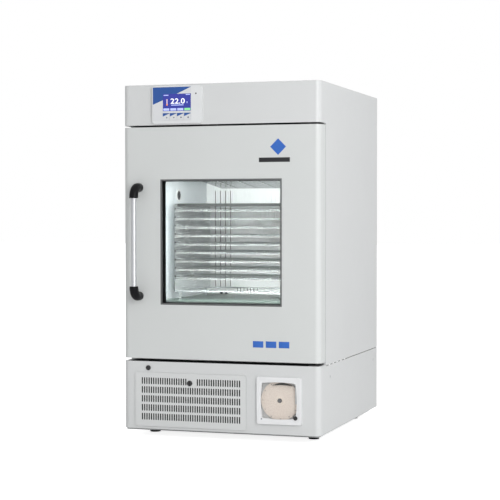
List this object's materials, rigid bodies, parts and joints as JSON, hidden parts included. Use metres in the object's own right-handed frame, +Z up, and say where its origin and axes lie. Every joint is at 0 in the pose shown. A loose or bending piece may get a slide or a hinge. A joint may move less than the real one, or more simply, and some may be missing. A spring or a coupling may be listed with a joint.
{
  "type": "platelet incubator with agitator",
  "caption": "Floor-standing platelet incubator with a windowed hinged door, sliding tray agitator, circular chart recorder and louvred machine base.",
  "frame": {"origin": "centre of the overall box on the floor, under the four levelling feet", "axes": "+Z up, +X to the right when the door is faced, -Y towards the user (the door side)"},
  "size_m": [0.65, 0.814, 1.117],
  "materials": {
    "cabinet_paint": "satin",
    "dark_paint": "matte",
    "liner_white": "satin",
    "duct_grey": "satin",
    "stainless": "satin",
    "zinc": "satin",
    "coil_aluminium": "satin",
    "bar_aluminium": "satin",
    "black_plastic": "satin",
    "white_plastic": "satin",
    "overlay_film": "satin",
    "key_plastic": "satin",
    "seal_rubber": "matte",
    "gasket_rubber": "matte",
    "foam": "matte",
    "window_glass": "polished",
    "dial_window": "polished",
    "chart_paper": "matte",
    "pen_metal": "satin",
    "lock_black": "satin",
    "compressor_black": "gloss",
    "screen": "gloss",
    "lamp_diffuser": "matte"
  },
  "bodies": {
    "cabinet": {"cabinet_wrap": "cabinet_paint", "top_cover": "cabinet_paint", "back_panel": "cabinet_paint", "base_wrap": "cabinet_paint", "base_tray": "dark_paint", "levelling_feet": "black_plastic", "insulation": "foam", "chamber_liner": "liner_white", "air_duct_panel": "duct_grey", "ceiling_plenum": "duct_grey", "chamber_floor": "duct_grey", "evaporator_coil": "coil_aluminium", "cable_port": "white_plastic", "chamber_lamp": "lamp_diffuser", "fan_motor": "dark_paint", "hinge_brackets": "zinc", "control_bezel": "white_plastic", "control_overlay": "overlay_film", "display_module": "screen", "door_lock_housing": "lock_black", "recorder_housing": "white_plastic", "compressor": "compressor_black", "condenser": "coil_aluminium", "condenser_fan_frame": "black_plastic", "mains_inlet": "black_plastic", "agitator_rails": "stainless", "agitator_motor": "dark_paint"},
    "door": {"door_skin": "cabinet_paint", "door_liner": "liner_white", "window_gasket": "seal_rubber", "window_panes": "window_glass", "door_gasket": "gasket_rubber", "handle_bar": "bar_aluminium", "handle_ends": "black_plastic"},
    "door_key_plug": {"door_lock_plug": "lock_black"},
    "flap": {"grille_flap": "cabinet_paint"},
    "flap_cam": {"flap_lock": "lock_black"},
    "recorder_lid": {"recorder_door": "white_plastic", "recorder_window": "dial_window"},
    "recorder_cam": {"recorder_lock": "lock_black"},
    "chart": {"chart_disc": "chart_paper"},
    "pen": {"pen_arm": "pen_metal"},
    "condenser_rotor": {"condenser_fan": "black_plastic"},
    "circulation_rotor": {"circulation_fan": "black_plastic"},
    "rocker": {"mains_rocker": "black_plastic"},
    "agitator": {"agitator_frame": "stainless"},
    "crank": {"drive_crank": "zinc"},
    "panel_key_1": {"key_1": "key_plastic"},
    "panel_key_2": {"key_2": "key_plastic"},
    "panel_key_3": {"key_3": "key_plastic"},
    "panel_key_4": {"key_4": "key_plastic"},
    "sliding_tray_1": {"tray_1": "stainless"},
    "sliding_tray_2": {"tray_2": "stainless"},
    "sliding_tray_3": {"tray_3": "stainless"},
    "sliding_tray_4": {"tray_4": "stainless"},
    "sliding_tray_5": {"tray_5": "stainless"},
    "sliding_tray_6": {"tray_6": "stainless"},
    "sliding_tray_7": {"tray_7": "stainless"},
    "sliding_tray_8": {"tray_8": "stainless"},
    "sliding_tray_9": {"tray_9": "stainless"}
  },
  "joints": [
    {"name": "door_swing", "type": "hinge", "parent": "cabinet", "child": "door", "pos_m": [0.308, -0.331, 0.617], "axis": [0, 0, 1], "range_deg": [0, 120]},
    {"name": "door_lock_turn", "type": "hinge", "parent": "cabinet", "child": "door_key_plug", "pos_m": [-0.241, -0.347, 0.2213], "axis": [0, 1, 0], "range_deg": [0, 90]},
    {"name": "flap_drop", "type": "hinge", "parent": "cabinet", "child": "flap", "pos_m": [-0.09935, -0.34905, 0.0364], "axis": [1, 0, 0], "range_deg": [0, 80]},
    {"name": "flap_lock_turn", "type": "hinge", "parent": "flap", "child": "flap_cam", "pos_m": [-0.1, -0.347, 0.1764], "axis": [0, 1, 0], "range_deg": [0, 90]},
    {"name": "recorder_door_swing", "type": "hinge", "parent": "cabinet", "child": "recorder_lid", "pos_m": [0.1222, -0.3518, 0.132], "axis": [0, 0, -1], "range_deg": [0, 100]},
    {"name": "recorder_lock_turn", "type": "hinge", "parent": "recorder_lid", "child": "recorder_cam", "pos_m": [0.248, -0.353, 0.081], "axis": [0, 1, 0], "range_deg": [0, 90]},
    {"name": "chart_turn", "type": "hinge", "parent": "cabinet", "child": "chart", "pos_m": [0.194, -0.338, 0.132], "axis": [0, -1, 0], "continuous": true},
    {"name": "pen_sweep", "type": "hinge", "parent": "cabinet", "child": "pen", "pos_m": [0.247, -0.344, 0.185], "axis": [0, 1, 0], "range_deg": [0, 35]},
    {"name": "condenser_fan_spin", "type": "hinge", "parent": "cabinet", "child": "condenser_rotor", "pos_m": [-0.105, -0.229, 0.126], "axis": [0, 1, 0], "continuous": true},
    {"name": "circulation_fan_spin", "type": "hinge", "parent": "cabinet", "child": "circulation_rotor", "pos_m": [0, 0.243, 0.647], "axis": [0, 1, 0], "continuous": true},
    {"name": "mains_rocker_tilt", "type": "hinge", "parent": "cabinet", "child": "rocker", "pos_m": [-0.199, 0.397, 0.102], "axis": [1, 0, 0], "range_deg": [0, 12]},
    {"name": "agitator_slide", "type": "slide", "parent": "cabinet", "child": "agitator", "axis": [1, 0, 0], "range_m": [-0.019, 0.019]},
    {"name": "crank_turn", "type": "hinge", "parent": "cabinet", "child": "crank", "pos_m": [0, -0.022, 0.377], "axis": [0, 0, -1], "range_deg": [-90, 90]},
    {"name": "key_1_press", "type": "slide", "parent": "cabinet", "child": "panel_key_1", "axis": [0, 1, 0], "range_m": [0, 0.0004], "stiffness_N_per_m": 1500},
    {"name": "key_2_press", "type": "slide", "parent": "cabinet", "child": "panel_key_2", "axis": [0, 1, 0], "range_m": [0, 0.0004], "stiffness_N_per_m": 1500},
    {"name": "key_3_press", "type": "slide", "parent": "cabinet", "child": "panel_key_3", "axis": [0, 1, 0], "range_m": [0, 0.0004], "stiffness_N_per_m": 1500},
    {"name": "key_4_press", "type": "slide", "parent": "cabinet", "child": "panel_key_4", "axis": [0, 1, 0], "range_m": [0, 0.0004], "stiffness_N_per_m": 1500},
    {"name": "tray_1_slide", "type": "slide", "parent": "agitator", "child": "sliding_tray_1", "axis": [0, -1, 0], "range_m": [0, 0.07]},
    {"name": "tray_2_slide", "type": "slide", "parent": "agitator", "child": "sliding_tray_2", "axis": [0, -1, 0], "range_m": [0, 0.07]},
    {"name": "tray_3_slide", "type": "slide", "parent": "agitator", "child": "sliding_tray_3", "axis": [0, -1, 0], "range_m": [0, 0.07]},
    {"name": "tray_4_slide", "type": "slide", "parent": "agitator", "child": "sliding_tray_4", "axis": [0, -1, 0], "range_m": [0, 0.07]},
    {"name": "tray_5_slide", "type": "slide", "parent": "agitator", "child": "sliding_tray_5", "axis": [0, -1, 0], "range_m": [0, 0.07]},
    {"name": "tray_6_slide", "type": "slide", "parent": "agitator", "child": "sliding_tray_6", "axis": [0, -1, 0], "range_m": [0, 0.07]},
    {"name": "tray_7_slide", "type": "slide", "parent": "agitator", "child": "sliding_tray_7", "axis": [0, -1, 0], "range_m": [0, 0.07]},
    {"name": "tray_8_slide", "type": "slide", "parent": "agitator", "child": "sliding_tray_8", "axis": [0, -1, 0], "range_m": [0, 0.07]},
    {"name": "tray_9_slide", "type": "slide", "parent": "agitator", "child": "sliding_tray_9", "axis": [0, -1, 0], "range_m": [0, 0.07]}
  ],
  "couplings": [
    {"joint": "crank_turn", "follows": "agitator_slide", "rad_per_m": 82.674}
  ]
}
